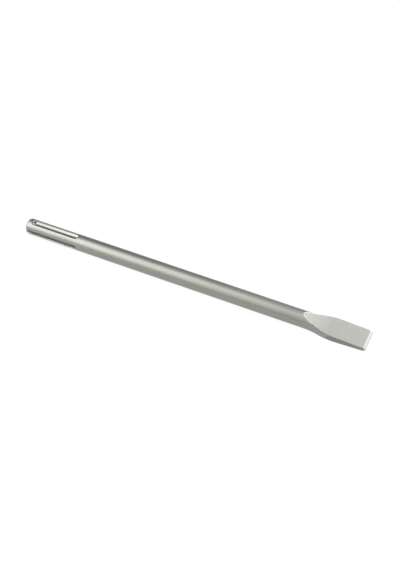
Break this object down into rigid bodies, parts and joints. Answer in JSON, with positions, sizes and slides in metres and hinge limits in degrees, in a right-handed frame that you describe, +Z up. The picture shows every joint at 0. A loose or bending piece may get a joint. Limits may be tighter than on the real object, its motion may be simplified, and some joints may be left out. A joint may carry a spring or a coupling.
{
  "type": "flat chisel for a rotary hammer",
  "caption": "Flat steel chisel on a round bar: a slotted shank for a hammer's tool holder at one end and a flat forged blade with a bevelled edge at the other.",
  "frame": {"origin": "centre of the flat striking face, on the axis of the bar", "axes": "+X runs along the bar from the striking face to the cutting edge. +Z is up as the chisel lies on a floor, where it has rolled about its bar until the front corner of its neck touches. +Y is level, away from that corner. The upper blade face is turned 24.6 degrees from +Z towards -Y."},
  "size_m": [0.4, 0.0256, 0.018],
  "materials": {
    "chisel": "satin blasted steel, with ground blade faces and a bright bevelled edge"
  },
  "bodies": {
    "root": {"chisel": "chisel"}
  },
  "joints": []
}
